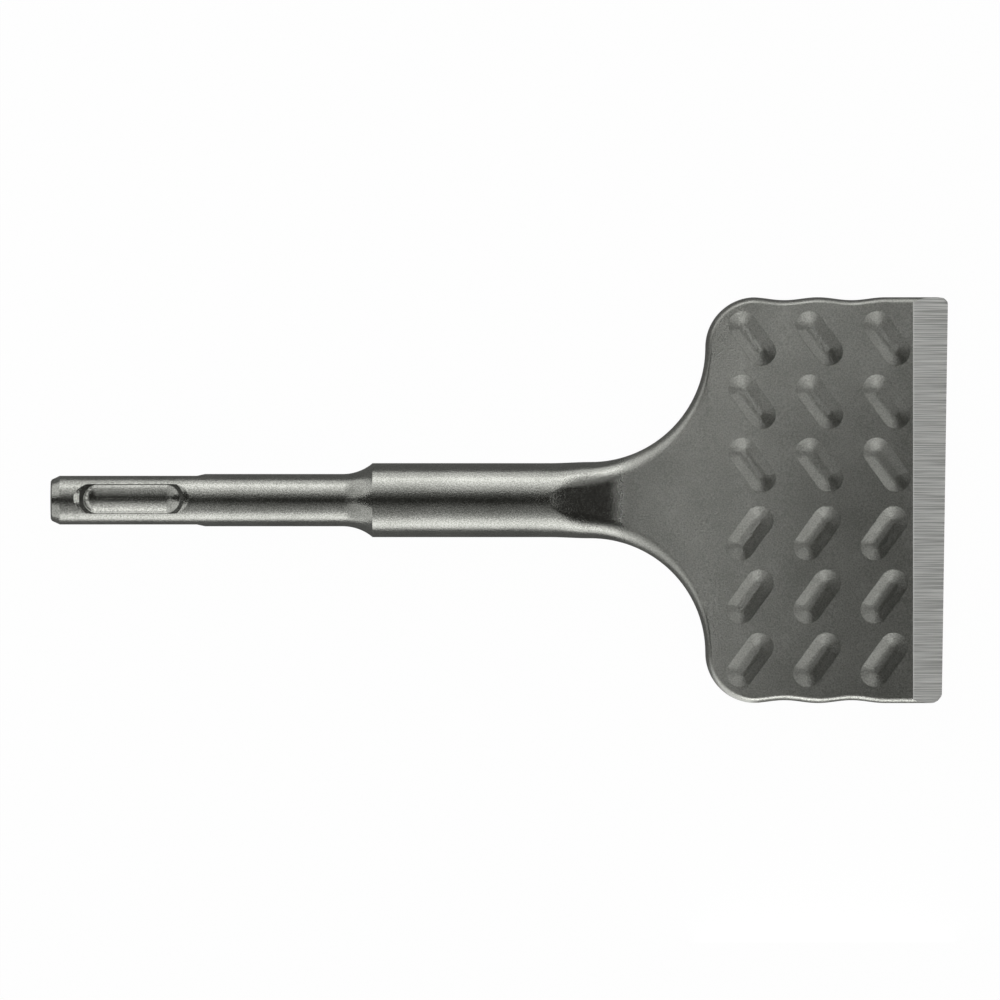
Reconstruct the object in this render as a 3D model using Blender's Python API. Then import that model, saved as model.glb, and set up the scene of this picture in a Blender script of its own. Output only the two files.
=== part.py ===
# Wide flat chisel bit for an electric hammer, forged in one piece from the struck end to the ground edge.
# The origin is the centre of the struck end face. +X runs along the axis to the cutting edge,
# +Y lies across the blade, and +Z points out of the ribbed face.
import math
from collections import namedtuple

import bmesh
import bpy
from mathutils import Matrix, Vector

MM = 0.001

# Round shank and collar
SHANK_DIAMETER = 10.0 * MM
STRUCK_FACE_DIAMETER = 8.4 * MM
END_CHAMFER_LENGTH = 1.75 * MM
COLLAR_START = 61.5 * MM
COLLAR_DIAMETER = 14.15 * MM
COLLAR_FILLET_RADIUS = 8.9 * MM
COLLAR_LENGTH = 33.8 * MM

# Two open slots in the sides of the shank, which the hammer turns it by
DRIVE_SLOT_WIDTH = 3.65 * MM
DRIVE_SLOT_DEPTH = 1.9 * MM
DRIVE_SLOT_LENGTH = 27.0 * MM
DRIVE_SLOT_RUNOUT = 2.7 * MM
DRIVE_SLOT_FLANK_ANGLE = math.radians(12.0)

# Two closed grooves in the top and bottom of the shank, which the hammer's balls lock into
LOCK_GROOVE_START = 6.1 * MM
LOCK_GROOVE_LENGTH = 18.7 * MM
LOCK_GROOVE_WIDTH = 5.7 * MM
LOCK_GROOVE_DEPTH = 1.8 * MM
LOCK_GROOVE_WALL_ANGLE = math.radians(45.0)

# Neck, where the bar is pressed flat from both faces
NECK_LENGTH = 7.9 * MM
NECK_WIDTH = 14.6 * MM
NECK_FLAT_WIDTH = 6.8 * MM
SCALLOP_ANGLE = math.radians(13.4)
SCALLOP_BLEND = 0.8 * MM

# Blade
BLADE_WIDTH = 77.6 * MM
SHOULDER_RADIUS = 9.6 * MM
BLADE_LENGTH = 30.1 * MM
BLADE_EDGE_THICKNESS = 3.2 * MM
BLADE_TAPER = math.radians(2.26)
SIDE_ROUND_WIDTH = 1.2 * MM
SIDE_WAVE_DEPTH = 0.55 * MM
BEVEL_LENGTH = 6.3 * MM
EDGE_LAND = 0.3 * MM
EDGE_CORNER_RADIUS = 1.5 * MM

# Ribs on the blade's face, in chevrons that point to the edge
RIB_COLUMNS = 3
RIB_ROWS_EACH_SIDE = 3
RIB_LENGTH = 11.6 * MM
RIB_WIDTH = 5.4 * MM
RIB_HEIGHT = 1.0 * MM
RIB_CREST_WIDTH = 1.0 * MM
RIB_ANGLE = math.radians(54.0)
RIB_CENTRE_PITCH = 12.8 * MM
RIB_SIDE_GAP = 8.2 * MM
RIB_SHOULDER_LEAD = 0.9 * MM
RIB_BEVEL_GAP = 5.3 * MM

# Facets along each curve
QUARTER_STEPS = 12
FLAT_SHARE = 0.5
FILLET_STEPS = 6
NECK_STEPS = 9
FLARE_STEPS = 14
SHOULDER_STEPS = 10
WAVE_STEPS = 8
CORNER_STEPS = 5
RIB_END_STEPS = 8
RIB_CROWN_STEPS = 4
TROUGH_SEGMENTS = 64
SMOOTH_ANGLE = math.radians(24.0)

# A cutting tool reaches past the face it cuts by this much
OVERCUT = 0.5 * MM

# Blasted steel
STEEL_COLOUR = (0.42, 0.42, 0.40, 1.0)
STEEL_ROUGHNESS = 0.42

# Radii and stations that follow from the sizes above
SHANK_RADIUS = SHANK_DIAMETER / 2
COLLAR_RADIUS = COLLAR_DIAMETER / 2
NECK_HALF_WIDTH = NECK_WIDTH / 2
BLADE_HALF_WIDTH = BLADE_WIDTH / 2
FLARE_RADIUS = BLADE_HALF_WIDTH - NECK_HALF_WIDTH - SHOULDER_RADIUS
NECK_START = COLLAR_START + COLLAR_LENGTH
FLARE_START = NECK_START + NECK_LENGTH
BLADE_START = FLARE_START + FLARE_RADIUS + SHOULDER_RADIUS
BEVEL_START = BLADE_START + BLADE_LENGTH
EDGE_X = BEVEL_START + BEVEL_LENGTH
FIRST_RIB_X = BLADE_START - RIB_SHOULDER_LEAD
LAST_RIB_X = BEVEL_START - RIB_BEVEL_GAP
RIB_COLUMN_PITCH = (LAST_RIB_X - FIRST_RIB_X) / (RIB_COLUMNS - 1)
FIRST_RIB_Y = RIB_CENTRE_PITCH / 2
LAST_RIB_Y = BLADE_HALF_WIDTH - RIB_SIDE_GAP
RIB_ROW_PITCH = (LAST_RIB_Y - FIRST_RIB_Y) / (RIB_ROWS_EACH_SIDE - 1)

# One cross-section of the forging. The outline point and its inward direction are given for the +Y side.
# round_share is the part of the section's points that lies on the rounded side.
Section = namedtuple("Section", "edge_x edge_y inward centre_x round_width round_share half_thickness")
STRAIGHT_IN = Vector((0, -1))


def remove_all_objects():
    for old in list(bpy.data.objects):
        bpy.data.objects.remove(old, do_unlink=True)


def steps(count):
    """Fractions from just above 0 up to 1."""
    return [(index + 1) / count for index in range(count)]


def mix(first, second, share):
    return first + (second - first) * share


def smooth_max(first, second, blend):
    """The larger of two heights, with a rounded valley where they cross."""
    overlap = max(blend - abs(first - second), 0.0) / blend
    return max(first, second) + overlap * overlap * blend / 4


def blade_half_thickness(x):
    """Half the height of the forging: the pressed scallop running down into the tapered blade."""
    scallop = COLLAR_RADIUS - (x - NECK_START) * math.tan(SCALLOP_ANGLE)
    taper = BLADE_EDGE_THICKNESS / 2 + (BEVEL_START - x) * math.tan(BLADE_TAPER)
    return smooth_max(scallop, taper, SCALLOP_BLEND)


def side_wave(x):
    """How far the blade's side draws in between two columns of ribs."""
    if not FIRST_RIB_X < x < LAST_RIB_X:
        return 0.0
    return SIDE_WAVE_DEPTH * (1 - math.cos(2 * math.pi * (x - LAST_RIB_X) / RIB_COLUMN_PITCH)) / 2


def round_section(x, radius):
    return Section(x, radius, STRAIGHT_IN, x, radius, 1.0, lambda _: radius)


def turned_sections():
    """The chamfered shank, the fillet and the start of the collar, as a turned profile."""
    sections = [
        round_section(0.0, STRUCK_FACE_DIAMETER / 2),
        round_section(END_CHAMFER_LENGTH, SHANK_RADIUS),
    ]
    fillet_turn = math.acos(1 - (COLLAR_RADIUS - SHANK_RADIUS) / COLLAR_FILLET_RADIUS)
    fillet_start = COLLAR_START - COLLAR_FILLET_RADIUS * math.sin(fillet_turn)
    sections.append(round_section(fillet_start, SHANK_RADIUS))
    for share in steps(FILLET_STEPS):
        turn = fillet_turn * share
        x = fillet_start + COLLAR_FILLET_RADIUS * math.sin(turn)
        sections.append(round_section(x, SHANK_RADIUS + COLLAR_FILLET_RADIUS * (1 - math.cos(turn))))
    sections.append(round_section(NECK_START, COLLAR_RADIUS))
    return sections


def neck_sections():
    """The bar's round section opening into a flat-topped one."""
    sections = []
    for share in steps(NECK_STEPS):
        along = share * share
        x = NECK_START + NECK_LENGTH * along
        half_width = mix(COLLAR_RADIUS, NECK_HALF_WIDTH, along)
        round_width = half_width - NECK_FLAT_WIDTH / 2 * share
        round_share = mix(1.0, FLAT_SHARE, share)
        sections.append(
            Section(x, half_width, STRAIGHT_IN, x, round_width, round_share, blade_half_thickness)
        )
    return sections


def flare_sections():
    """A hollow quarter circle out of the neck, then a rounded shoulder into the blade's side."""
    outline = []
    neck_round = NECK_HALF_WIDTH - NECK_FLAT_WIDTH / 2
    for share in steps(FLARE_STEPS):
        turn = share * math.pi / 2
        inward = Vector((math.sin(turn), -math.cos(turn)))
        edge_x = FLARE_START + FLARE_RADIUS * math.sin(turn)
        edge_y = NECK_HALF_WIDTH + FLARE_RADIUS * (1 - math.cos(turn))
        outline.append((edge_x, edge_y, inward, mix(neck_round, SIDE_ROUND_WIDTH, math.sin(turn))))
    for share in steps(SHOULDER_STEPS):
        turn = share * math.pi / 2
        inward = Vector((math.cos(turn), -math.sin(turn)))
        edge_x = BLADE_START - SHOULDER_RADIUS * math.cos(turn)
        edge_y = BLADE_HALF_WIDTH - SHOULDER_RADIUS * (1 - math.sin(turn)) - side_wave(edge_x)
        outline.append((edge_x, edge_y, inward, SIDE_ROUND_WIDTH))
    sections = []
    for share, (edge_x, edge_y, inward, round_width) in zip(steps(len(outline)), outline):
        centre_x = mix(FLARE_START, BLADE_START, share)
        sections.append(
            Section(edge_x, edge_y, inward, centre_x, round_width, FLAT_SHARE, blade_half_thickness)
        )
    return sections


def blade_sections():
    """The wavy sides past the rib columns, then straight on to the rounded corners of the edge."""
    outline = []
    for share in steps(WAVE_STEPS * (RIB_COLUMNS - 1)):
        x = mix(BLADE_START, LAST_RIB_X, share)
        outline.append((x, BLADE_HALF_WIDTH - side_wave(x)))
    outline.append((BEVEL_START, BLADE_HALF_WIDTH))
    for step in range(CORNER_STEPS + 1):
        turn = step / CORNER_STEPS * math.pi / 2
        x = EDGE_X - EDGE_CORNER_RADIUS * (1 - math.sin(turn))
        outline.append((x, BLADE_HALF_WIDTH - EDGE_CORNER_RADIUS * (1 - math.cos(turn))))
    sections = []
    for x, half_width in outline:
        sections.append(
            Section(x, half_width, STRAIGHT_IN, x, SIDE_ROUND_WIDTH, FLAT_SHARE, blade_half_thickness)
        )
    return sections


def section_ring(section):
    """The points of one section, from the +Y side over the top and back underneath."""
    quarter = []
    for step in range(QUARTER_STEPS + 1):
        share = step / QUARTER_STEPS
        turn = min(share / section.round_share, 1.0) * math.pi / 2
        inset = section.round_width * (1 - math.cos(turn))
        x = section.edge_x + section.inward.x * inset
        y = section.edge_y + section.inward.y * inset
        if share > section.round_share:
            across = (share - section.round_share) / (1 - section.round_share)
            x = mix(x, section.centre_x, across)
            y = mix(y, 0.0, across)
        quarter.append(Vector((x, y, section.half_thickness(x) * math.sin(turn))))
    quarter[-1].y = 0.0
    far = [Vector((point.x, -point.y, point.z)) for point in reversed(quarter[:-1])]
    top = quarter + far
    underside = [Vector((point.x, point.y, -point.z)) for point in reversed(top[1:-1])]
    return top + underside


def add_loft(bm, rings, matrix=Matrix.Identity(4)):
    """Skin a row of rings with equal point counts and close both ends."""
    loops = [[bm.verts.new(matrix @ Vector(point)) for point in ring] for ring in rings]
    count = len(loops[0])
    faces = [bm.faces.new(loops[0]), bm.faces.new(loops[-1])]
    for near, far in zip(loops, loops[1:]):
        for index in range(count):
            following = (index + 1) % count
            faces.append(bm.faces.new((near[index], near[following], far[following], far[index])))
    bmesh.ops.recalc_face_normals(bm, faces=faces)


def make_object(name, bm):
    mesh = bpy.data.meshes.new(name)
    bm.to_mesh(mesh)
    bm.free()
    new_object = bpy.data.objects.new(name, mesh)
    bpy.context.scene.collection.objects.link(new_object)
    return new_object


def make_tool(name, bm):
    """A solid that only cuts or joins another one."""
    tool = make_object(name, bm)
    tool.display_type = "WIRE"
    tool.hide_render = True
    return tool


def add_boolean(target, tool, operation):
    modifier = target.modifiers.new(tool.name, "BOOLEAN")
    modifier.operation = operation
    modifier.solver = "EXACT"
    modifier.object = tool


def make_forging():
    bm = bmesh.new()
    sections = turned_sections() + neck_sections() + flare_sections() + blade_sections()
    add_loft(bm, [section_ring(section) for section in sections])
    return make_object("wide_chisel", bm)


def stadium(half_spine, radius, height, end_steps):
    """A ring with straight sides and round ends, its spine along X."""
    ring = []
    for end_x, first_turn in ((half_spine, -math.pi / 2), (-half_spine, math.pi / 2)):
        for step in range(end_steps + 1):
            turn = first_turn + math.pi * step / end_steps
            ring.append((end_x + radius * math.cos(turn), radius * math.sin(turn), height))
    return ring


def make_ribs():
    """All the ribs, each a rounded ridge whose flanks run on down into the blade's tapered face."""
    half_spine = (RIB_LENGTH - RIB_WIDTH) / 2
    crown = []
    for share in steps(RIB_CROWN_STEPS):
        radius = mix(RIB_WIDTH, RIB_CREST_WIDTH, share) / 2
        crown.append((radius, RIB_HEIGHT * math.sin(share * math.pi / 2)))
    lowest_radius, lowest_height = crown[0]
    flank_run = (RIB_WIDTH / 2 - lowest_radius) / lowest_height
    root = (RIB_WIDTH / 2 + flank_run * OVERCUT, -OVERCUT)
    rings = [stadium(half_spine, radius, height, RIB_END_STEPS) for radius, height in [root] + crown]
    bm = bmesh.new()
    for column in range(RIB_COLUMNS):
        x = FIRST_RIB_X + column * RIB_COLUMN_PITCH
        for row in range(RIB_ROWS_EACH_SIDE):
            for side in (1, -1):
                y = side * (FIRST_RIB_Y + row * RIB_ROW_PITCH)
                place = Matrix.Translation((x, y, blade_half_thickness(x)))
                lean = Matrix.Rotation(-side * RIB_ANGLE, 4, "Z")
                add_loft(bm, rings, place @ Matrix.Rotation(BLADE_TAPER, 4, "Y") @ lean)
    return make_tool("ribs", bm)


def make_drive_slots():
    """Open slots with leaning flanks and a ramp where the milling cutter ran out."""
    floor_y = SHANK_RADIUS - DRIVE_SLOT_DEPTH
    outer_y = SHANK_RADIUS + OVERCUT
    lip_y = math.sqrt(SHANK_RADIUS**2 - (DRIVE_SLOT_WIDTH / 2) ** 2)
    start_x = -OVERCUT
    rings = []
    for y in (floor_y, outer_y):
        half_width = DRIVE_SLOT_WIDTH / 2 + (y - lip_y) * math.tan(DRIVE_SLOT_FLANK_ANGLE)
        end_x = DRIVE_SLOT_LENGTH + DRIVE_SLOT_RUNOUT * (y - floor_y) / DRIVE_SLOT_DEPTH
        near_side = [(start_x, y, -half_width), (end_x, y, -half_width)]
        far_side = [(end_x, y, half_width), (start_x, y, half_width)]
        rings.append(near_side + far_side)
    bm = bmesh.new()
    add_loft(bm, rings)
    add_loft(bm, rings, Matrix.Rotation(math.pi, 4, "X"))
    return make_tool("drive_slots", bm)


def make_lock_grooves():
    """Closed grooves: a round trough, kept inside a stadium whose walls lean out."""
    floor_z = SHANK_RADIUS - LOCK_GROOVE_DEPTH
    half_width = LOCK_GROOVE_WIDTH / 2
    lip_height = math.sqrt(SHANK_RADIUS**2 - half_width**2) - floor_z
    trough_radius = (half_width**2 + lip_height**2) / (2 * lip_height)
    centre_x = LOCK_GROOVE_START + LOCK_GROOVE_LENGTH / 2
    half_spine = LOCK_GROOVE_LENGTH / 2 - half_width
    rings = []
    for z in (floor_z - OVERCUT, SHANK_RADIUS + OVERCUT):
        radius = half_width + (z - floor_z) * math.tan(LOCK_GROOVE_WALL_ANGLE)
        rings.append(stadium(half_spine, radius, z, QUARTER_STEPS))
    trough_centre = Matrix.Translation((centre_x, 0, floor_z + trough_radius))
    trough_place = trough_centre @ Matrix.Rotation(math.pi / 2, 4, "Y")
    walls = bmesh.new()
    troughs = bmesh.new()
    for turn in (0.0, math.pi):
        face = Matrix.Rotation(turn, 4, "X")
        add_loft(walls, rings, face @ Matrix.Translation((centre_x, 0, 0)))
        bmesh.ops.create_cone(
            troughs,
            cap_ends=True,
            segments=TROUGH_SEGMENTS,
            radius1=trough_radius,
            radius2=trough_radius,
            depth=2 * LOCK_GROOVE_LENGTH,
            matrix=face @ trough_place,
        )
    grooves = make_tool("lock_grooves", walls)
    add_boolean(grooves, make_tool("lock_troughs", troughs), "INTERSECT")
    return grooves


def make_grinding_wedge():
    """What the wheel takes off to leave the single bevel and the narrow land of the edge."""
    start = Vector((BEVEL_START, blade_half_thickness(BEVEL_START)))
    end = Vector((EDGE_X, EDGE_LAND - blade_half_thickness(EDGE_X)))
    reach = (end - start).normalized() * BLADE_EDGE_THICKNESS
    low = end + reach
    high = start - reach
    profile = [(low.x, low.y), (high.x, high.y), (low.x, high.y + RIB_HEIGHT)]
    half_width = BLADE_HALF_WIDTH + BLADE_EDGE_THICKNESS
    bm = bmesh.new()
    add_loft(bm, [[(x, y, z) for x, z in profile] for y in (-half_width, half_width)])
    return make_tool("grinding_wedge", bm)


def steel_material():
    material = bpy.data.materials.new("blasted_steel")
    material.use_nodes = True
    shader = material.node_tree.nodes["Principled BSDF"]
    shader.inputs["Base Color"].default_value = STEEL_COLOUR
    shader.inputs["Metallic"].default_value = 1.0
    shader.inputs["Roughness"].default_value = STEEL_ROUGHNESS
    return material


def bake_modifiers(target):
    """Give the object the mesh that its modifiers make, and put the tools away."""
    evaluated = target.evaluated_get(bpy.context.evaluated_depsgraph_get())
    baked = bpy.data.meshes.new_from_object(evaluated)
    target.modifiers.clear()
    target.data = baked
    for tool in [other for other in bpy.data.objects if other != target]:
        bpy.data.objects.remove(tool, do_unlink=True)


def build_chisel():
    chisel = make_forging()
    chisel.data.materials.append(steel_material())
    add_boolean(chisel, make_ribs(), "UNION")
    add_boolean(chisel, make_drive_slots(), "DIFFERENCE")
    add_boolean(chisel, make_lock_grooves(), "DIFFERENCE")
    add_boolean(chisel, make_grinding_wedge(), "DIFFERENCE")
    bake_modifiers(chisel)
    chisel.data.shade_smooth()
    chisel.data.set_sharp_from_angle(angle=SMOOTH_ANGLE)


remove_all_objects()
build_chisel()
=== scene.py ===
# %% [markdown]
# A wide flat chisel bit in blasted steel.
# The real bit is one drop forging: a turned shank with slots, a collar, a neck pressed flat, and a ribbed
# blade with one ground edge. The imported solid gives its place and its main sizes. This lesson models a
# finer skin over the same sizes, gives each surface its finish, and lights it as a product photograph does.

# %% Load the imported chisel
import math
from collections import namedtuple

import bmesh
import bpy
from mathutils import Matrix, Vector


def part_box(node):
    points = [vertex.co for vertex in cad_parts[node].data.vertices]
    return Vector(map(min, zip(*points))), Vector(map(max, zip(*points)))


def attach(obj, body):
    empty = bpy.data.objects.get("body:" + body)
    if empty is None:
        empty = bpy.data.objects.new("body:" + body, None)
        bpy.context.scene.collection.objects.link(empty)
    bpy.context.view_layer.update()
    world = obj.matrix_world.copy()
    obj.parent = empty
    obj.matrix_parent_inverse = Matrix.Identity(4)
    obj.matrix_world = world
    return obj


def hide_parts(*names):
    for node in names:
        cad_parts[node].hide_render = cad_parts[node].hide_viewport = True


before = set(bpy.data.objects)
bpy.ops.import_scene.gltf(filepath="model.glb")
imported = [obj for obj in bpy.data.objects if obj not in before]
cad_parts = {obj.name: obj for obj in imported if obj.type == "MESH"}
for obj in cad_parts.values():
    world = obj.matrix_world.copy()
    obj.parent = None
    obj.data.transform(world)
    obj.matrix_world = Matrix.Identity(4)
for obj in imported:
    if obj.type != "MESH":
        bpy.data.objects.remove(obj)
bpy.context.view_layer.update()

# %% [markdown]
# Sizes first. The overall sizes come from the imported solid, so that the skin follows it. The others are the
# sizes that a maker would write on the drawing, in millimetres.

# %% Sizes of the shank, collar and neck
MM = 0.001
SAME_PLACE = 0.001 * MM
_, high_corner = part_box("wide_chisel")
EDGE_X = high_corner.x
BLADE_HALF_WIDTH = high_corner.y
COLLAR_RADIUS = high_corner.z
SHANK_RADIUS = 5.0 * MM
STRUCK_FACE_RADIUS = 3.9 * MM
END_ROUND_LENGTH = 0.25 * MM
END_ROUND_RADIUS = 4.3 * MM
END_CHAMFER_LENGTH = 1.75 * MM
COLLAR_START = 61.5 * MM
COLLAR_FILLET_RADIUS = 8.9 * MM
NECK_START = 95.3 * MM
NECK_LENGTH = 7.9 * MM
NECK_HALF_WIDTH = 7.3 * MM
NECK_FLAT_WIDTH = 4.8 * MM
SCALLOP_START = NECK_START - 0.6 * MM
SCALLOP_EASE = 1.8 * MM
SCALLOP_ANGLE = math.radians(13.5)
SCALLOP_BLEND = 0.8 * MM

# %% Sizes of the blade
SHOULDER_RADIUS = 9.6 * MM
FLARE_RADIUS = BLADE_HALF_WIDTH - NECK_HALF_WIDTH - SHOULDER_RADIUS
FLARE_START = NECK_START + NECK_LENGTH
BLADE_START = FLARE_START + FLARE_RADIUS + SHOULDER_RADIUS
BEVEL_LENGTH = 6.3 * MM
BEVEL_START = EDGE_X - BEVEL_LENGTH
BLADE_EDGE_THICKNESS = 3.2 * MM
BLADE_TAPER = math.radians(2.26)
SIDE_ROUND_WIDTH = 1.2 * MM
SIDE_WAVE_DEPTH = 0.55 * MM
EDGE_LAND = 0.3 * MM
print("blade starts at", round(BLADE_START / MM, 1), "mm and its bevel at", round(BEVEL_START / MM, 1), "mm")

# %% Columns of ribs, which the blade's sides follow
FIRST_RIB_SETBACK = 0.9 * MM
LAST_RIB_SETBACK = 5.3 * MM
FIRST_RIB_X = BLADE_START - FIRST_RIB_SETBACK
LAST_RIB_X = BEVEL_START - LAST_RIB_SETBACK
RIB_COLUMNS = 3
RIB_COLUMN_PITCH = (LAST_RIB_X - FIRST_RIB_X) / (RIB_COLUMNS - 1)
print("rib columns stand", round(RIB_COLUMN_PITCH / MM, 1), "mm apart")

# %% [markdown]
# Camera. The photograph looks straight down on the chisel, with the shank to the left. A long lens from
# three metres keeps the picture almost free of perspective, as the photograph is. The frame is 191 mm wide.

# %% Camera
FRAME_WIDTH = 191.2 * MM
FRAME_CENTRE = Vector((85.86 * MM, 0.03 * MM, 0.0))
LENS = 600.0
SENSOR = 36.0
camera_data = bpy.data.cameras.new("camera")
camera_data.lens = LENS
camera_data.sensor_width = SENSOR
camera = bpy.data.objects.new("camera", camera_data)
camera.location = FRAME_CENTRE + Vector((0, 0, FRAME_WIDTH * LENS / SENSOR))
bpy.context.scene.collection.objects.link(camera)
bpy.context.scene.camera = camera
print("camera height:", round(camera.location.z, 3), "m")

# %% [markdown]
# The turned bar. On the real bit the shank and collar are round bar. A lathe profile and the spin tool could
# make them, but the neck has to grow out of the same rings of points. So here one circle is pushed along the
# axis: each push extrudes the last ring and scales it, as one would with E and S in edit mode.

# %% A ring of points that knows its places
RING_POINTS = 128
QUARTER = RING_POINTS // 4


def start_ring(name, radius):
    """Add an open circle round the X axis and stay in edit mode. Each point keeps its place round it."""
    bpy.ops.object.select_all(action="DESELECT")
    bpy.ops.mesh.primitive_circle_add(vertices=RING_POINTS, radius=radius, rotation=(0, math.pi / 2, 0))
    ring = bpy.context.object
    ring.name = name
    bpy.ops.object.transform_apply(rotation=True)
    bpy.ops.object.mode_set(mode="EDIT")
    bm = bmesh.from_edit_mesh(ring.data)
    place = bm.verts.layers.int.new("place")
    for vert in bm.verts:
        turn = math.atan2(vert.co.z, vert.co.y) % (2 * math.pi)
        vert[place] = round(turn / (2 * math.pi) * RING_POINTS) % RING_POINTS
    bmesh.update_edit_mesh(ring.data)
    return ring


# %% Stations of the bar
FILLET_STEPS = 14


def turned_profile():
    """Stations and radii of the bar, from the rounding of the struck face to the end of the collar."""
    fillet_turn = math.acos(1 - (COLLAR_RADIUS - SHANK_RADIUS) / COLLAR_FILLET_RADIUS)
    fillet_start = COLLAR_START - COLLAR_FILLET_RADIUS * math.sin(fillet_turn)
    profile = [(END_ROUND_LENGTH, END_ROUND_RADIUS)]
    profile.append((END_CHAMFER_LENGTH, SHANK_RADIUS))
    profile.append((fillet_start, SHANK_RADIUS))
    for step in range(1, FILLET_STEPS + 1):
        turn = fillet_turn * step / FILLET_STEPS
        x = fillet_start + COLLAR_FILLET_RADIUS * math.sin(turn)
        profile.append((x, SHANK_RADIUS + COLLAR_FILLET_RADIUS * (1 - math.cos(turn))))
    profile.append((NECK_START, COLLAR_RADIUS))
    return profile


# %% Push the bar out to the neck
chisel = start_ring("chisel", STRUCK_FACE_RADIUS)
here_x, here_radius = 0.0, STRUCK_FACE_RADIUS
for x, radius in turned_profile():
    bpy.ops.mesh.extrude_edges_move(TRANSFORM_OT_translate={"value": (x - here_x, 0, 0)})
    scale = radius / here_radius
    bpy.ops.transform.resize(value=(1, scale, scale), center_override=(x, 0, 0))
    here_x, here_radius = x, radius
print("bar:", len(bmesh.from_edit_mesh(chisel.data).faces), "faces up to", round(here_x / MM, 1), "mm")

# %% [markdown]
# The forged neck and blade. Under the hammer the bar is pressed flat between two dies and spreads into the
# blade. The rings go on, but no plain scaling turns a circle into a flat blade with rounded sides. So each
# new ring is extruded in place and its points are then set on the next cross-section. The blade's section
# has a rounded part at each side and a flat part between them. The neck's is the round bar with a flat
# pressed on its top and bottom, and it eases into the blade's.

# %% Thickness of the forging and draw of its sides
def mix(first, second, share):
    return first + (second - first) * share


def half_thickness(x):
    """Half the height of the forging: the pressed scallop running down into the tapered blade."""
    past = max(x - SCALLOP_START, 0.0)
    scallop = COLLAR_RADIUS - past**2 / (past + SCALLOP_EASE) * math.tan(SCALLOP_ANGLE)
    taper = BLADE_EDGE_THICKNESS / 2 + (BEVEL_START - x) * math.tan(BLADE_TAPER)
    overlap = max(SCALLOP_BLEND - abs(scallop - taper), 0.0) / SCALLOP_BLEND
    return max(scallop, taper) + overlap * overlap * SCALLOP_BLEND / 4


def side_wave(x):
    """How far the blade's side draws in between two columns of ribs."""
    if not FIRST_RIB_X < x < LAST_RIB_X:
        return 0.0
    return SIDE_WAVE_DEPTH * (1 - math.cos(2 * math.pi * (x - LAST_RIB_X) / RIB_COLUMN_PITCH)) / 2


# %% [markdown]
# A station says what one cross-section needs: where its side lies along the axis, its half widths at +Y and
# -Y, the way inward from the side, where its middle lies, the width of its rounded part, the share of the
# points on that part, and how far it has become the blade's section.

# %% Stations of the neck
NECK_STEPS = 24
FLAT_SHARE = 0.5
STRAIGHT_IN = (0.0, -1.0)
Station = namedtuple("Station", "x sides inward middle_x round_width round_share blade_share")


def neck_stations():
    """The round bar under the scallop. The sides widen softly, so that no line shows across the collar."""
    flat_growth = (NECK_HALF_WIDTH - NECK_FLAT_WIDTH / 2 - SIDE_ROUND_WIDTH) / FLARE_RADIUS
    stations = []
    for step in range(1, NECK_STEPS + 1):
        share = step / NECK_STEPS
        x = NECK_START + NECK_LENGTH * share
        eased = share**2 * (3 - 2 * share)
        half_width = mix(COLLAR_RADIUS, NECK_HALF_WIDTH, eased)
        round_width = half_width - NECK_FLAT_WIDTH / 2 + flat_growth * (FLARE_START - x)
        scallop_share = max(x - SCALLOP_START, 0.0) / (FLARE_START - SCALLOP_START)
        round_share = mix(1.0, FLAT_SHARE, math.sqrt(scallop_share))
        sides = (half_width, half_width)
        stations.append(Station(x, sides, STRAIGHT_IN, x, round_width, round_share, eased))
    return stations


# %% Stations of the flare and shoulder
FLARE_STEPS = 34
SHOULDER_STEPS = 24


def flare_stations():
    """A hollow quarter circle out of the neck, then a rounded shoulder into the blade's side."""
    outline = []
    neck_round = NECK_HALF_WIDTH - NECK_FLAT_WIDTH / 2
    for step in range(1, FLARE_STEPS + 1):
        turn = step / FLARE_STEPS * math.pi / 2
        x = FLARE_START + FLARE_RADIUS * math.sin(turn)
        y = NECK_HALF_WIDTH + FLARE_RADIUS * (1 - math.cos(turn))
        inward = (math.sin(turn), -math.cos(turn))
        outline.append((x, y, inward, mix(neck_round, SIDE_ROUND_WIDTH, math.sin(turn))))
    for step in range(1, SHOULDER_STEPS + 1):
        turn = step / SHOULDER_STEPS * math.pi / 2
        x = BLADE_START - SHOULDER_RADIUS * math.cos(turn)
        y = BLADE_HALF_WIDTH - SHOULDER_RADIUS * (1 - math.sin(turn)) - side_wave(x)
        inward = (math.cos(turn), -math.sin(turn))
        outline.append((x, y, inward, SIDE_ROUND_WIDTH))
    stations = []
    for index, (x, y, inward, round_width) in enumerate(outline, 1):
        middle_x = mix(FLARE_START, BLADE_START, index / len(outline))
        stations.append(Station(x, (y, y), inward, middle_x, round_width, FLAT_SHARE, 1.0))
    return stations


# %% Stations of the blade
WAVE_STEPS = 18
CORNER_STEPS = 24
FAR_CORNER_X = EDGE_X + 0.5 * MM
FAR_CORNER_RADIUS = 1.1 * MM
NEAR_CORNER_X = EDGE_X - 0.5 * MM
NEAR_CORNER_RADIUS = 2.4 * MM


def corner_draw(x, corner_x, radius):
    """How far a rounded corner draws the side in. It ends at corner_x."""
    past = min(max(x - (corner_x - radius), 0.0), radius)
    return radius - math.sqrt(radius**2 - past**2)


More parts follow.
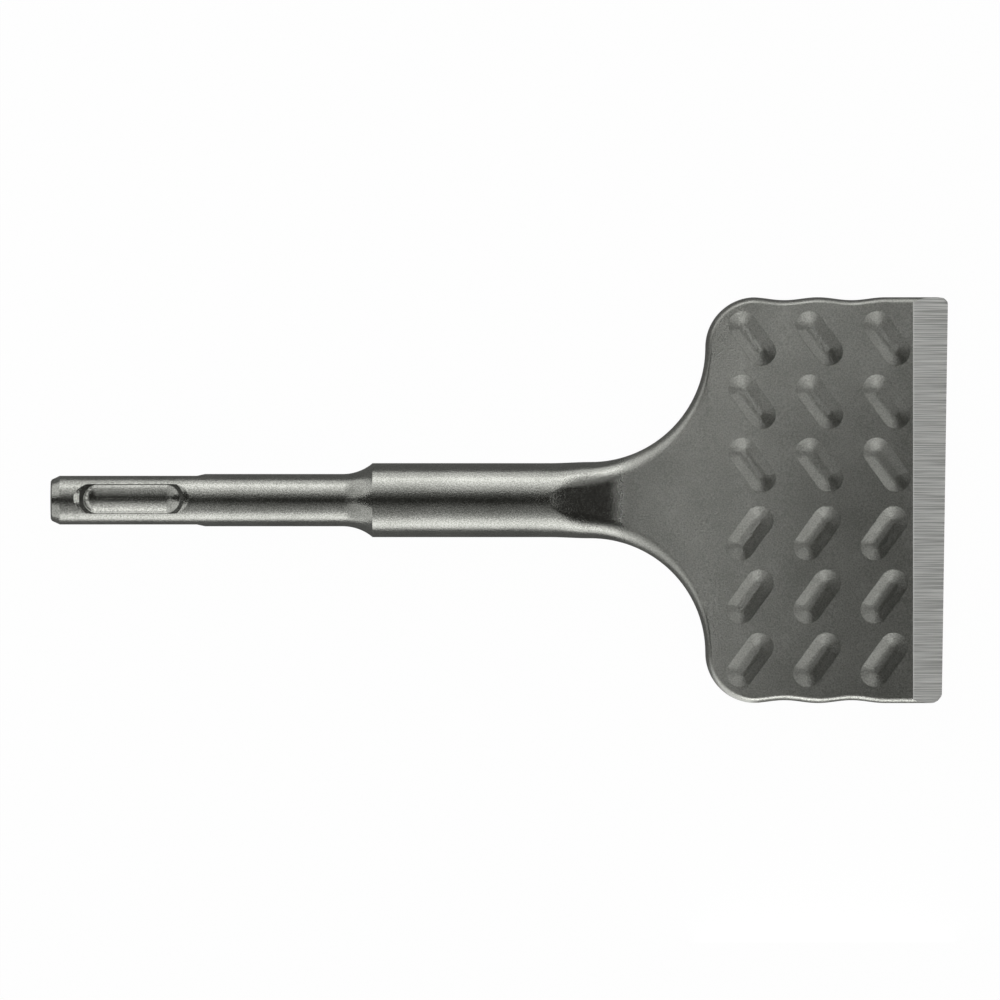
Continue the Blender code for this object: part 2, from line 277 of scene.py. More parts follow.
def blade_stations():
    """The wavy sides past the rib columns, then on past the edge with a small and a larger corner."""
    wave_count = WAVE_STEPS * (RIB_COLUMNS - 1)
    xs = [mix(BLADE_START, LAST_RIB_X, step / wave_count) for step in range(1, wave_count + 1)]
    first_corner_x = NEAR_CORNER_X - NEAR_CORNER_RADIUS
    xs.append(BEVEL_START)
    xs += [mix(first_corner_x, FAR_CORNER_X, step / CORNER_STEPS) for step in range(CORNER_STEPS + 1)]
    stations = []
    for x in xs:
        far_y = BLADE_HALF_WIDTH - side_wave(x) - corner_draw(x, FAR_CORNER_X, FAR_CORNER_RADIUS)
        near_y = BLADE_HALF_WIDTH - side_wave(x) - corner_draw(x, NEAR_CORNER_X, NEAR_CORNER_RADIUS)
        stations.append(Station(x, (far_y, near_y), STRAIGHT_IN, x, SIDE_ROUND_WIDTH, FLAT_SHARE, 1.0))
    return stations


# %% One cross-section
def clipped_round(station, half_width, share):
    """A point of the round bar pressed flat, at a share of the way from its side to the middle."""
    height = half_thickness(station.x)
    last_turn = math.asin(min(height / COLLAR_RADIUS, 1.0))
    turn = min(share / station.round_share, 1.0) * last_turn
    y = half_width * math.cos(turn)
    if share > station.round_share:
        y *= (1 - share) / (1 - station.round_share)
    return Vector((station.x, y, COLLAR_RADIUS * math.sin(turn)))


def quarter_points(station, half_width):
    """A quarter of a section: from its side round to the top, then flat to the middle."""
    points = []
    for step in range(QUARTER + 1):
        share = step / QUARTER
        turn = min(share / station.round_share, 1.0) * math.pi / 2
        inset = station.round_width * (1 - math.cos(turn))
        x = station.x + station.inward[0] * inset
        y = half_width + station.inward[1] * inset
        if share > station.round_share:
            across = (share - station.round_share) / (1 - station.round_share)
            x, y = mix(x, station.middle_x, across), mix(y, 0.0, across)
        point = Vector((x, y, half_thickness(x) * math.sin(turn)))
        if station.blade_share < 1:
            point = clipped_round(station, half_width, share).lerp(point, station.blade_share)
        points.append(point)
    return points


def section_points(station):
    """Points of a whole section from the +Y side over the top to the -Y side and back underneath."""
    far_quarter, near_quarter = [quarter_points(station, half_width) for half_width in station.sides]
    top = far_quarter + [Vector((point.x, -point.y, point.z)) for point in reversed(near_quarter[:-1])]
    return top + [Vector((point.x, point.y, -point.z)) for point in reversed(top[1:-1])]


# %% Push the neck and the blade
def push_section(station):
    """Extrude the selected ring and set its points on the next section."""
    bpy.ops.mesh.extrude_edges_move()
    points = section_points(station)
    bm = bmesh.from_edit_mesh(chisel.data)
    place = bm.verts.layers.int["place"]
    for vert in bm.verts:
        if vert.select:
            vert.co = points[vert[place]]
    bmesh.update_edit_mesh(chisel.data)


for station in neck_stations() + flare_stations() + blade_stations():
    push_section(station)
print("forging:", len(bmesh.from_edit_mesh(chisel.data).faces), "faces up to", round(station.x / MM, 1), "mm")

# %% Close both ends
def close_solid(solid):
    """Close the last ring and the first one, turn the faces outward and leave edit mode."""
    bpy.ops.mesh.edge_face_add()
    bpy.ops.mesh.select_all(action="DESELECT")
    bpy.ops.mesh.select_non_manifold()
    bpy.ops.mesh.edge_face_add()
    bpy.ops.mesh.select_all(action="SELECT")
    bpy.ops.mesh.normals_make_consistent(inside=False)
    bpy.ops.object.mode_set(mode="OBJECT")
    print(solid.name, "has", len(solid.data.polygons), "faces")


close_solid(chisel)

# %% [markdown]
# Tools that cut. Milling the slots and grooves is a subtraction, so each cutter is modelled as a solid and a
# Boolean modifier takes it away. The same helper joins the ribs on.

# %% Boolean helper
def combine(target, tool, operation):
    """Join or cut the target with the tool, then throw the tool away."""
    bpy.ops.object.select_all(action="DESELECT")
    bpy.context.view_layer.objects.active = target
    modifier = target.modifiers.new(tool.name, "BOOLEAN")
    modifier.operation = operation
    modifier.solver = "EXACT"
    modifier.object = tool
    bpy.ops.object.modifier_apply(modifier=modifier.name)
    bpy.data.objects.remove(tool, do_unlink=True)


# %% Copies
def copy_at(solid, name, matrix):
    """A copy with its own mesh, moved by the matrix and left unturned and unscaled at the origin."""
    duplicate = solid.copy()
    duplicate.data = solid.data.copy()
    duplicate.name = name
    bpy.context.scene.collection.objects.link(duplicate)
    duplicate.matrix_world = matrix
    bpy.ops.object.select_all(action="DESELECT")
    duplicate.select_set(True)
    bpy.context.view_layer.objects.active = duplicate
    bpy.ops.object.transform_apply(location=True, rotation=True, scale=True)
    return duplicate


def copies_joined(solid, name, matrices):
    """Copies of a solid at all the places, joined into one object in place of the solid."""
    copies = [copy_at(solid, f"{name}_{index}", matrix) for index, matrix in enumerate(matrices, 1)]
    bpy.data.objects.remove(solid, do_unlink=True)
    bpy.ops.object.select_all(action="DESELECT")
    for duplicate in copies:
        duplicate.select_set(True)
    bpy.context.view_layer.objects.active = copies[0]
    bpy.ops.object.join()
    copies[0].name = name
    return copies[0]


# %% Stadiums: circles pulled apart at their middle
STADIUM_POINTS = 48


def select_points(solid, chosen):
    """Select the points whose place passes a test, with the edges and faces between them."""
    bm = bmesh.from_edit_mesh(solid.data)
    for vert in bm.verts:
        vert.select = chosen(vert.co)
    bm.select_flush_mode()
    bmesh.update_edit_mesh(solid.data)


def select_level(solid, height, side=0):
    """Select one level of a stadium solid, all of it or only the half on one side of its middle."""
    select_points(solid, lambda point: abs(point.z - height) < SAME_PLACE and point.x * side >= 0)


def stadium_solid(name, profile):
    """A solid with straight sides and round ends. Each level has a half spine, a radius and a height."""
    half_spine, radius, height = profile[0]
    bpy.ops.object.select_all(action="DESELECT")
    half_step = math.pi / STADIUM_POINTS
    bpy.ops.mesh.primitive_circle_add(vertices=STADIUM_POINTS, radius=radius, rotation=(0, 0, half_step))
    solid = bpy.context.object
    solid.name = name
    bpy.ops.object.transform_apply(rotation=True)
    bpy.ops.object.mode_set(mode="EDIT")
    bpy.ops.transform.translate(value=(0, 0, height))
    for side in (1, -1):
        select_level(solid, height, side)
        bpy.ops.transform.translate(value=(side * half_spine, 0, 0))
    for next_spine, next_radius, next_height in profile[1:]:
        select_level(solid, height)
        bpy.ops.mesh.extrude_edges_move(TRANSFORM_OT_translate={"value": (0, 0, next_height - height)})
        scale = next_radius / radius
        for side in (1, -1):
            select_level(solid, next_height, side)
            centre = (side * half_spine, 0, next_height)
            bpy.ops.transform.resize(value=(scale, scale, 1), center_override=centre)
            bpy.ops.transform.translate(value=(side * (next_spine - half_spine), 0, 0))
        half_spine, radius, height = next_spine, next_radius, next_height
    select_level(solid, height)
    close_solid(solid)
    return solid


# %% [markdown]
# The ribs. The die presses eighteen ribs up from the blade, in chevrons that point to the edge. Each is a
# small roof: two flat flanks, a broad rounded crest, round ends that draw in a little on their way up, and a
# small fillet where it meets the face. One is modelled at the origin from a circle that is pulled apart and
# pushed up ring by ring, then copied to its places on the face.

# %% One rib
RIB_LENGTH = 11.6 * MM
RIB_WIDTH = 5.4 * MM
RIB_FLANK_ANGLE = math.radians(25)
RIB_CREST_RADIUS = 3.0 * MM
RIB_ROOT_RADIUS = 0.6 * MM
RIB_SKIRT_ANGLE = math.radians(6)
RIB_ROOT_DEPTH = 0.06 * MM
RIB_FOOT_DEPTH = 10 * RIB_ROOT_DEPTH
RIB_END_PULL = 0.5 * MM
CURVE_STEPS = 6


def rib_profile():
    """Half spine, radius and height from below the face, through the fillet and up the flank to the crest."""
    flank = RIB_FLANK_ANGLE
    fillet_end = RIB_WIDTH / 2 + RIB_ROOT_RADIUS * math.tan(flank / 2)
    profile = []
    for step in range(CURVE_STEPS + 1):
        turn = mix(RIB_SKIRT_ANGLE, flank, step / CURVE_STEPS)
        radius = fillet_end - RIB_ROOT_RADIUS * math.sin(turn)
        profile.append((radius, RIB_ROOT_RADIUS * (1 - math.cos(turn))))
    skirt_radius, skirt_height = profile[0]
    under_radius = skirt_radius + (skirt_height + RIB_ROOT_DEPTH) / math.tan(RIB_SKIRT_ANGLE)
    profile.insert(0, (under_radius, -RIB_ROOT_DEPTH))
    profile.insert(0, (under_radius, -RIB_FOOT_DEPTH))
    crest_centre = RIB_WIDTH / 2 * math.tan(flank) - RIB_CREST_RADIUS / math.cos(flank)
    for step in range(CURVE_STEPS):
        turn = flank * (1 - step / CURVE_STEPS)
        profile.append((RIB_CREST_RADIUS * math.sin(turn), crest_centre + RIB_CREST_RADIUS * math.cos(turn)))
    half_spine = (RIB_LENGTH - RIB_WIDTH) / 2
    crest = profile[-1][1]
    levels = []
    for radius, height in profile:
        levels.append((half_spine - RIB_END_PULL * max(height, 0) / crest, radius, height))
    return levels


rib = stadium_solid("rib", rib_profile())
print("rib height:", round(rib_profile()[-1][2] / MM, 2), "mm")

# %% Eighteen ribs on the tapered face
RIB_ANGLE = math.radians(54)
FIRST_RIB_Y = 6.4 * MM
RIB_SIDE_MARGIN = 8.2 * MM
LAST_RIB_Y = BLADE_HALF_WIDTH - RIB_SIDE_MARGIN
RIB_ROWS_EACH_SIDE = 3
UPPER_RIB_SHIFT = Vector((0.22 * MM, 0.32 * MM, 0))
LOWER_RIB_SHIFT = Vector((-0.23 * MM, 0.07 * MM, 0))

rib_places = []
for column in range(RIB_COLUMNS):
    x = FIRST_RIB_X + column * RIB_COLUMN_PITCH
    for row in range(RIB_ROWS_EACH_SIDE):
        for side in (1, -1):
            y = side * mix(FIRST_RIB_Y, LAST_RIB_Y, row / (RIB_ROWS_EACH_SIDE - 1))
            shift = UPPER_RIB_SHIFT if side > 0 else LOWER_RIB_SHIFT
            place = Matrix.Translation(Vector((x, y, half_thickness(x + shift.x))) + shift)
            lean = Matrix.Rotation(BLADE_TAPER, 4, "Y") @ Matrix.Rotation(-side * RIB_ANGLE, 4, "Z")
            rib_places.append(place @ lean)
combine(chisel, copies_joined(rib, "all_ribs", rib_places), "UNION")
print("ribs pressed:", len(rib_places), "forging now has", len(chisel.data.polygons), "faces")

# %% [markdown]
# The grooves and slots of the shank. A ball in the chuck holds the bit in two closed grooves, top and bottom.
# Each is a shallow trough with a rounded rim and round ends. Past the ends an almost level ledge leads to a
# wall that rises to the round of the shank. Both grooves are turned a little about the axis, as in the
# photograph. Two open slots, one on each side, take the turning keys.

# %% Locking grooves
GROOVE_LENGTH = 18.7 * MM
GROOVE_HALF_WIDTH = 2.85 * MM
GROOVE_START = 6.1 * MM
GROOVE_CENTRE_X = GROOVE_START + GROOVE_LENGTH / 2
GROOVE_SIDE_ANGLE = math.radians(40)
GROOVE_RIM_RADIUS = 0.4 * MM
GROOVE_LEDGE_WIDTH = 0.65 * MM
GROOVE_LEDGE_SLOPE = math.radians(2)
GROOVE_WALL_SLOPE = math.radians(41)
GROOVE_OVERCUT = 0.3 * MM
GROOVE_TURN = math.radians(-3.5)


def groove_profile():
    """Half spine, radius and height from the floor over the rounded rim, along the ledge and up the wall."""
    rim_z = math.sqrt(SHANK_RADIUS**2 - GROOVE_HALF_WIDTH**2)
    trough_width = GROOVE_HALF_WIDTH - GROOVE_RIM_RADIUS * math.sin(GROOVE_SIDE_ANGLE)
    trough_radius = trough_width / math.sin(GROOVE_SIDE_ANGLE)
    trough_z = rim_z - GROOVE_RIM_RADIUS * (1 - math.cos(GROOVE_SIDE_ANGLE))
    floor_z = trough_z - trough_radius * (1 - math.cos(GROOVE_SIDE_ANGLE))
    profile = []
    for step in range(1, 2 * CURVE_STEPS + 1):
        turn = GROOVE_SIDE_ANGLE * step / (2 * CURVE_STEPS)
        profile.append((trough_radius * math.sin(turn), floor_z + trough_radius * (1 - math.cos(turn))))
    for step in range(CURVE_STEPS - 1, 0, -1):
        turn = GROOVE_SIDE_ANGLE * step / CURVE_STEPS
        rounding = GROOVE_RIM_RADIUS * (1 - math.cos(turn))
        profile.append((GROOVE_HALF_WIDTH - GROOVE_RIM_RADIUS * math.sin(turn), rim_z - rounding))
    ledge_radius = GROOVE_HALF_WIDTH + GROOVE_LEDGE_WIDTH
    ledge_z = rim_z + GROOVE_LEDGE_WIDTH * math.tan(GROOVE_LEDGE_SLOPE)
    top_z = SHANK_RADIUS + GROOVE_OVERCUT
    wall_radius = ledge_radius + (top_z - ledge_z) / math.tan(GROOVE_WALL_SLOPE)
    profile += [(GROOVE_HALF_WIDTH, rim_z), (ledge_radius, ledge_z), (wall_radius, top_z)]
    half_spine = GROOVE_LENGTH / 2 - GROOVE_HALF_WIDTH
    return [(half_spine, radius, height) for radius, height in profile]


groove = stadium_solid("groove", groove_profile())
print("groove depth:", round((SHANK_RADIUS - groove_profile()[0][2]) / MM, 2), "mm")
groove_places = []
for turn in (GROOVE_TURN, GROOVE_TURN + math.pi):
    groove_places.append(Matrix.Rotation(turn, 4, "X") @ Matrix.Translation((GROOVE_CENTRE_X, 0, 0)))
combine(chisel, copies_joined(groove, "both_grooves", groove_places), "DIFFERENCE")

# %% Drive slots
SLOT_LENGTH = 25.4 * MM
SLOT_RUNOUT = 2.7 * MM
SLOT_WIDTH = 3.65 * MM
SLOT_DEPTH = 1.9 * MM
SLOT_FLANK_ANGLE = math.radians(12)
SLOT_OVERCUT = 0.5 * MM
SLOT_GENTLE_DEPTH = 0.45 * MM
SLOT_GENTLE_RUN = 1.4 * MM
SLOT_LIP_Y = math.sqrt(SHANK_RADIUS**2 - (SLOT_WIDTH / 2) ** 2)
SLOT_FLOOR_RADIUS = 0.5 * MM
SLOT_FLOOR_STEPS = 4


def slot_block():
    """A block with leaning flanks and a sloping end, left in edit mode."""
    height = SLOT_DEPTH + SLOT_OVERCUT
    length = SLOT_LENGTH + SLOT_OVERCUT
    floor_y = SHANK_RADIUS - SLOT_DEPTH
    middle_y = floor_y + height / 2
    bpy.ops.object.select_all(action="DESELECT")
    bpy.ops.mesh.primitive_cube_add(size=1)
    block = bpy.context.object
    block.name = "slot"
    block.scale = (length, height, SLOT_WIDTH)
    block.location = (length / 2 - SLOT_OVERCUT, middle_y, 0)
    bpy.ops.object.transform_apply(location=True, scale=True)
    bpy.ops.object.mode_set(mode="EDIT")
    for outer, y in ((False, floor_y), (True, floor_y + height)):
        select_points(block, lambda point: (point.y > middle_y) == outer)
        lean = (y - SLOT_LIP_Y) * math.tan(SLOT_FLANK_ANGLE) * 2
        bpy.ops.transform.resize(value=(1, 1, 1 + lean / SLOT_WIDTH), center_override=(0, y, 0))
    select_points(block, lambda point: point.y > middle_y and point.x > 0)
    bpy.ops.transform.translate(value=(SLOT_RUNOUT * height / SLOT_DEPTH, 0, 0))
    return block


def drive_slot():
    """The block with a gentler end near the surface and with its floor corners rounded."""
    slot = slot_block()
    gentle_y = SHANK_RADIUS - SLOT_GENTLE_DEPTH
    gentle_run = SLOT_GENTLE_RUN * (SLOT_GENTLE_DEPTH + SLOT_OVERCUT) / SLOT_GENTLE_DEPTH
    bpy.ops.mesh.select_all(action="SELECT")
    bpy.ops.mesh.bisect(plane_co=(0, gentle_y, 0), plane_no=(0, 1, 0), threshold=SAME_PLACE)
    select_points(slot, lambda point: point.y > gentle_y + SAME_PLACE and point.x > 0)
    bpy.ops.transform.translate(value=(gentle_run, 0, 0))
    bm = bmesh.from_edit_mesh(slot.data)
    for edge in bm.edges:
        along = edge.verts[0].co - edge.verts[1].co
        below_lip = max(vert.co.y for vert in edge.verts) < SLOT_LIP_Y
        edge.select = abs(along.x) > SLOT_LENGTH / 2 and below_lip
    bmesh.update_edit_mesh(slot.data)
    bpy.ops.mesh.bevel(offset=SLOT_FLOOR_RADIUS, segments=SLOT_FLOOR_STEPS, affect="EDGES")
    bpy.ops.object.mode_set(mode="OBJECT")
    return slot


slot_places = [Matrix.Rotation(turn, 4, "X") for turn in (0, math.pi)]
combine(chisel, copies_joined(drive_slot(), "both_slots", slot_places), "DIFFERENCE")
print("shank cut:", len(chisel.data.polygons), "faces")

# %% [markdown]
# The ground edge. A wheel takes one bevel off the top of the blade, not quite square to it, so the edge leans
# a little in the photograph. Bisecting with a plane does the same: what lies beyond it is cleared and the cut
# is filled. The filled face gets its own material, because fresh ground steel is brighter than the forged
# skin.

# %% Grind the edge and the bevel
EDGE_LEAN = math.radians(0.88)
BEVEL_LEAN = math.radians(0.36)
EDGE_MIDDLE_X = 170.95 * MM


def grind(point, normal):
    """Clear what lies beyond a plane, fill the cut and leave the filled face selected."""
    bpy.ops.mesh.select_all(action="SELECT")
    cut = {"use_fill": True, "clear_outer": True, "threshold": SAME_PLACE}
    bpy.ops.mesh.bisect(plane_co=point, plane_no=normal, **cut)


forged = bpy.data.materials.new("forged_steel")
ground = bpy.data.materials.new("ground_steel")
chisel.data.materials.append(forged)
chisel.data.materials.append(ground)
bpy.ops.object.select_all(action="DESELECT")
bpy.context.view_layer.objects.active = chisel
bpy.ops.object.mode_set(mode="EDIT")
grind((EDGE_MIDDLE_X, 0, 0), (math.cos(EDGE_LEAN), -math.sin(EDGE_LEAN), 0))
bevel_top = half_thickness(BEVEL_START)
bevel_drop = bevel_top + half_thickness(EDGE_X) - EDGE_LAND
bevel_start = Vector((BEVEL_START, 0, bevel_top))
down_bevel = Vector((BEVEL_LENGTH, 0, -bevel_drop))
along_edge = Vector((math.sin(BEVEL_LEAN), math.cos(BEVEL_LEAN), 0))
grind(bevel_start, down_bevel.cross(along_edge))
chisel.active_material_index = 1
bpy.ops.object.material_slot_assign()
bpy.ops.mesh.region_to_loop()
bpy.ops.mesh.mark_sharp()
bpy.ops.object.mode_set(mode="OBJECT")
print("bevel slope:", round(math.degrees(math.atan2(bevel_drop, BEVEL_LENGTH)), 1), "degrees")

# %% [markdown]
# Shading. Smooth shading keeps the edges above an angle sharp. A Weighted Normal modifier then lets the large
# flat faces keep their own direction where the little fillets meet them.

# %% Smooth shading
SHARP_ANGLE = math.radians(24)
bpy.ops.object.select_all(action="DESELECT")
chisel.select_set(True)
bpy.context.view_layer.objects.active = chisel
bpy.ops.object.shade_smooth_by_angle(angle=SHARP_ANGLE)
weighted = chisel.modifiers.new("weighted", "WEIGHTED_NORMAL")
weighted.keep_sharp = True
bpy.ops.object.modifier_apply(modifier=weighted.name)
loose_edges = [edge for edge in chisel.data.edges if edge.is_loose]
print("loose edges:", len(loose_edges))

# %% [markdown]
# Materials. A shader is a chain of sums, and sums are easier to read as sums. A wire is one output of a node,
# and its operators add the Math nodes. One method adds any other node: its settings first, then values or
# wires.

# %% Wires
class Wire:
    """One output of a node, ready for plain arithmetic with numbers and other wires."""

    def __init__(self, graph, socket):
        self.graph = graph
        self.socket = socket

    def __add__(self, other):
        return self.graph.math("ADD", self, other)

    def __radd__(self, other):
        return self.graph.math("ADD", other, self)

    def __sub__(self, other):
        return self.graph.math("SUBTRACT", self, other)

    def __rsub__(self, other):
        return self.graph.math("SUBTRACT", other, self)

    def __mul__(self, other):
        return self.graph.math("MULTIPLY", self, other)

    def __rmul__(self, other):
        return self.graph.math("MULTIPLY", other, self)

    def __truediv__(self, other):
        return self.graph.math("DIVIDE", self, other)

    def __rtruediv__(self, other):
        return self.graph.math("DIVIDE", other, self)


# %% Graphs
NOISE_ROUGHNESS = 0.6


class Graph:
    """The node tree of one material or world."""

    def __init__(self, owner):
        owner.use_nodes = True
        self.tree = owner.node_tree
        self.tree.nodes.clear()

    def node(self, kind, settings, inputs):
        """Add a node, set its settings, then its inputs by name or number."""
        node = self.tree.nodes.new(kind)
        for name, value in settings.items():
            setattr(node, name, value)
        for name, value in inputs.items():
            if isinstance(value, Wire):
                self.tree.links.new(value.socket, node.inputs[name])
            else:
                node.inputs[name].default_value = value
        return node

    def wire(self, kind, settings, inputs, output=0):
        """Add a node and take one of its outputs."""
        return Wire(self, self.node(kind, settings, inputs).outputs[output])

    def math(self, operation, *values):
        return self.wire("ShaderNodeMath", {"operation": operation}, dict(enumerate(values)))

    def rise(self, value, low, high):
        """0 below low, 1 above high and a smooth step between them."""
        inputs = {"Value": value, "From Min": low, "From Max": high}
        return self.wire("ShaderNodeMapRange", {"interpolation_type": "SMOOTHSTEP"}, inputs)

    def blend(self, share, first, second):
        """A colour between two colours."""
        inputs = {"Factor": share, 6: first, 7: second}
        return self.wire("ShaderNodeMix", {"data_type": "RGBA"}, inputs, 2)

    def noise(self, place, size, detail):
        """Soft grey noise of a given size, mostly between 0.3 and 0.7."""
        inputs = {"Vector": place, "Scale": 1 / size, "Detail": detail, "Roughness": NOISE_ROUGHNESS}
        return self.wire("ShaderNodeTexNoise", {}, inputs)

    def place(self):
        """Where a point lies on the object, in metres."""
        return self.wire("ShaderNodeTexCoord", {}, {}, "Object")

    def stretch(self, place, factors):
        return self.wire("ShaderNodeVectorMath", {"operation": "MULTIPLY"}, {0: place, 1: factors})

    def axis(self, place, name):
        return self.wire("ShaderNodeSeparateXYZ", {}, {0: place}, name)

    def bump(self, height, distance, strength):
        inputs = {"Height": height, "Distance": distance, "Strength": strength}
        return self.wire("ShaderNodeBump", {}, inputs)

    def steel(self, colour, metallic, roughness, normal):
        """Finish the material as a Principled surface."""
        inputs = {"Base Color": colour, "Metallic": metallic, "Roughness": roughness, "Normal": normal}
        self.output(self.wire("ShaderNodeBsdfPrincipled", {}, inputs))

    def output(self, shader):
        self.node("ShaderNodeOutputMaterial", {}, {"Surface": shader})


# %% [markdown]
# Forged and blasted steel. The whole bit is blasted after forging, which leaves a fine even grain. The bar
# keeps more of its turned sheen, the pressed neck is a little smoother, and the blade, forged hot, is duller
# and coarser. That last change lies across the end of the scallop and looks grainy, so noise shifts it.

# %% Forged steel
BAR_ROUGHNESS = 0.18
BLADE_ROUGHNESS = 0.35
GRAIN_ROUGHNESS = 0.12
STEEL = (0.6, 0.605, 0.565, 1)
STEEL_DARK = (0.36, 0.365, 0.335, 1)
GRAIN_SIZE = 0.3 * MM
GRAIN_MEAN = 0.5
GRAIN_LOW, GRAIN_HIGH = 0.3, 0.7
GRAIN_DEPTH = 0.09 * MM
GRAIN_STRENGTH = 0.8
PATCH_SIZE = 9 * MM
PATCH_SHARE = 0.3
FINISH_SHIFT = 0.8 * MM
PRESSED_FROM, PRESSED_TO = 96 * MM, 99 * MM
BLADE_FROM, BLADE_TO = 106 * MM, 112 * MM
BAR_RELIEF = 0.5
PRESSED_RELIEF_LOSS = 0.1
BLADE_RELIEF_GAIN = 0.7

graph = Graph(forged)
place = graph.place()
grain = graph.noise(place, GRAIN_SIZE, 2.0)
patches = graph.noise(place, PATCH_SIZE, 3.0)
along = graph.axis(place, "X") + (grain - GRAIN_MEAN) * FINISH_SHIFT
blade_share = graph.rise(along, BLADE_FROM, BLADE_TO)
pressed_share = graph.rise(along, PRESSED_FROM, PRESSED_TO)
relief = BAR_RELIEF - PRESSED_RELIEF_LOSS * pressed_share + BLADE_RELIEF_GAIN * blade_share * blade_share
roughness = BAR_ROUGHNESS + blade_share * (BLADE_ROUGHNESS - BAR_ROUGHNESS)
roughness = roughness + (grain - GRAIN_MEAN) * GRAIN_ROUGHNESS
tone = graph.rise(grain * (1 - PATCH_SHARE) + patches * PATCH_SHARE, GRAIN_LOW, GRAIN_HIGH)
colour = graph.blend(tone, STEEL_DARK, STEEL)
normal = graph.bump(grain * relief, GRAIN_DEPTH, GRAIN_STRENGTH)
graph.steel(colour, 1.0, roughness, normal)
print("forged steel:", len(graph.tree.nodes), "nodes")

# %% [markdown]
# Ground steel. The wheel runs from the face to the edge, so it leaves fine lines along the slope. Where the
# bevel starts, a thin bright line is painted on its rim: a painted highlight, near white and matt, for the
# light that the rim would catch.

# %% Ground steel
GROUND_BRIGHT = (0.96, 0.965, 0.935, 1)
GROUND_DARK = (0.5, 0.505, 0.485, 1)
GROUND_METALLIC = 0.3
GROUND_ROUGHNESS = 0.45
LINE_WIDTH = 0.22 * MM
LINE_STRETCH = (0.012, 1.0, 0.012)
LINE_LOW, LINE_HIGH = 0.36, 0.64
LINE_DEPTH = 0.15 * MM
LINE_STRENGTH = 0.8
# Painted highlight along the rim where the bevel starts: its colour, width and share.
PAINTED_HIGHLIGHT_COLOUR = (0.97, 0.97, 0.95, 1)
PAINTED_HIGHLIGHT_WIDTH = 0.35 * MM
PAINTED_HIGHLIGHT_SHARE = 0.8

graph = Graph(ground)
place = graph.place()
lines = graph.noise(graph.stretch(place, LINE_STRETCH), LINE_WIDTH, 2.0)
# Painted highlight: a near-white, matt band along the start of the bevel.
rim_highlight = 1 - graph.rise(graph.axis(place, "X"), BEVEL_START, BEVEL_START + PAINTED_HIGHLIGHT_WIDTH)
colour = graph.blend(graph.rise(lines, LINE_LOW, LINE_HIGH), GROUND_DARK, GROUND_BRIGHT)
colour = graph.blend(rim_highlight * PAINTED_HIGHLIGHT_SHARE, colour, PAINTED_HIGHLIGHT_COLOUR)
normal = graph.bump(lines, LINE_DEPTH, LINE_STRENGTH)
graph.steel(colour, GROUND_METALLIC * (1 - rim_highlight), GROUND_ROUGHNESS, normal)
print("ground steel:", len(graph.tree.nodes), "nodes")

# %% [markdown]
# The stage. A white floor carries the chisel by its collar. It shows white to the camera and in the steel,
# and still takes a soft shadow. Dark cards lie on it beside and under the steel, so that its steep sides stay
# dark: they are painted shade, which the steel mirrors in place of the shaded floor. Only mirrored light
# meets
# the cards: the camera doesn't see them, and they throw no shadow.

# %% Floor
FLOOR_Z = -COLLAR_RADIUS
FLOOR_CENTRE = (0.085, 0, FLOOR_Z)
FLOOR_SIZE = (8, 8)
PAPER = (0.85, 0.85, 0.85, 1)
WHITE = (1, 1, 1, 1)
GLOW_SHARE = 0.98
SEEING_RAYS = ("Is Camera Ray", "Is Glossy Ray", "Is Transmission Ray")


def stage_plane(name, centre, size, material):
    """A level plane that belongs to the stage and not to the part."""
    bpy.ops.object.select_all(action="DESELECT")
    bpy.ops.mesh.primitive_plane_add(size=1, location=centre)
    plane = bpy.context.object
    plane.name = name
    plane.scale = (size[0], size[1], 1)
    bpy.ops.object.transform_apply(location=True, scale=True)
    plane.data.materials.append(material)
    return plane


floor_material = bpy.data.materials.new("white_floor")
stage_plane("floor", FLOOR_CENTRE, FLOOR_SIZE, floor_material)
graph = Graph(floor_material)
path = graph.node("ShaderNodeLightPath", {}, {})
seen = sum(Wire(graph, path.outputs[name]) for name in SEEING_RAYS)
paper = graph.wire("ShaderNodeBsdfDiffuse", {}, {"Color": PAPER})
glow = graph.wire("ShaderNodeEmission", {}, {"Color": WHITE, "Strength": 1.0})
graph.output(graph.wire("ShaderNodeMixShader", {}, {0: seen * GLOW_SHARE, 1: paper, 2: glow}))
print("floor:", FLOOR_SIZE[0], "m wide, at", round(FLOOR_Z / MM, 1), "mm")

# %% Cards
# Painted shade: the cards are dark grey where the floor around and under the steel would lie in shade.
PAINTED_SHADE_GREY = (0.25, 0.25, 0.25, 1)
CARD_Z = FLOOR_Z + 0.1 * MM
painted_shade_material = bpy.data.materials.new("painted_shade_card")
graph = Graph(painted_shade_material)
graph.output(graph.wire("ShaderNodeBsdfDiffuse", {}, {"Color": PAINTED_SHADE_GREY}))


def painted_shade_card(name, x, y, size):
    """A dark card of painted shade that only mirrored light meets."""
    card = stage_plane(name, (x, y, CARD_Z), size, painted_shade_material)
    card.visible_camera = False
    card.visible_diffuse = False
    card.visible_shadow = False
    card.visible_transmission = False


painted_shade_card("bar_card", -0.025, 0.039, (0.45, 0.122))
painted_shade_card("near_card", -0.0775, -0.041, (0.345, 0.038))
painted_shade_card("flare_card", 0.115, -0.031, (0.04, 0.018))
painted_shade_card("blade_card", 0.155, -0.0385, (0.04, 0.033))

# %% [markdown]
# The lights. Walls of light stand round the table. Each covers a part of the circle and has up to five levels
# from low to steep, so that round steel shows a dark middle with a bright band on each side. The face of the
# blade mirrors what hangs over it: boxes with grids, which light nothing beside them. Five more face the end
# of the upper groove, and a low strip lights the near side of the blade. A fill that no steel mirrors lights
# the floor and the ground bevel. What no lamp covers is an almost black room.

